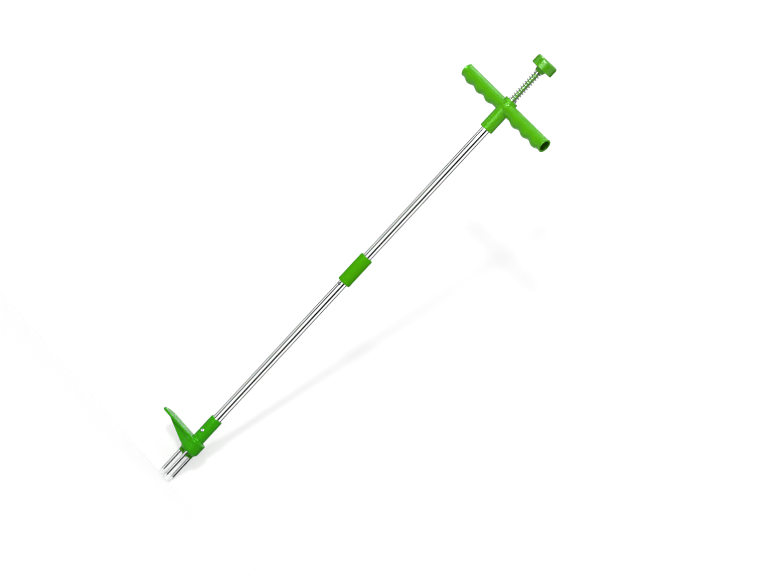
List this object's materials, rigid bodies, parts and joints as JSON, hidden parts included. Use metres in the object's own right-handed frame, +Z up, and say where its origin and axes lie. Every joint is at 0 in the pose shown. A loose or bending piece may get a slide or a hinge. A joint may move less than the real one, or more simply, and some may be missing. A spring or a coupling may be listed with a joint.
{
  "type": "stand up weeder",
  "caption": "Long-handled stand-up weeder with a T-handle, sprung push knob, tubular steel shaft, foot pedal and tines with a sliding ejector.",
  "frame": {"origin": "on the shaft's axis at the level of the tine tips", "axes": "+Z up the shaft, +X along the handle bar, -X also the way the foot pedal points, -Y the side with the head's rivet"},
  "size_m": [0.22, 0.0428, 1],
  "materials": {
    "handle_green": "glossy moulded green",
    "head_green": "glossy moulded green, a shade deeper",
    "ejector_green": "lime green moulding",
    "polished_steel": "bright polished",
    "plain_steel": "zinc plated",
    "spring_steel": "drawn spring wire",
    "dark_plastic": "black acetal"
  },
  "bodies": {
    "tool": {"handle": "handle_green", "handle_bush": "dark_plastic", "spring_washer": "plain_steel", "handle_rivet": "polished_steel", "upper_tube": "polished_steel", "upper_rod_guide": "dark_plastic", "connector_sleeve": "handle_green", "lower_tube": "polished_steel", "lower_rod_guide": "dark_plastic", "claw_head": "head_green", "head_rivet": "polished_steel", "tine_pedal_side": "polished_steel", "tine_rear": "polished_steel", "tine_front": "polished_steel", "return_spring": "spring_steel"},
    "plunger": {"push_knob": "handle_green", "knob_stem": "handle_green", "stem_pin": "plain_steel", "upper_push_rod": "plain_steel", "rod_coupler": "plain_steel", "lower_push_rod": "plain_steel", "ejector": "ejector_green", "ejector_screw": "plain_steel"},
    "snap_lock": {"snap_button": "polished_steel", "snap_leaf_spring": "spring_steel"}
  },
  "joints": [
    {"name": "plunger_push", "type": "slide", "parent": "tool", "child": "plunger", "axis": [0, 0, -1], "range_m": [0, 0.045], "stiffness_N_per_m": 400, "springref_m": -0.02, "deforming": ["return_spring"]},
    {"name": "snap_button_press", "type": "slide", "parent": "tool", "child": "snap_lock", "axis": [0, 1, 0], "range_m": [0, 0.0024], "stiffness_N_per_m": 1500, "springref_m": -0.001}
  ]
}
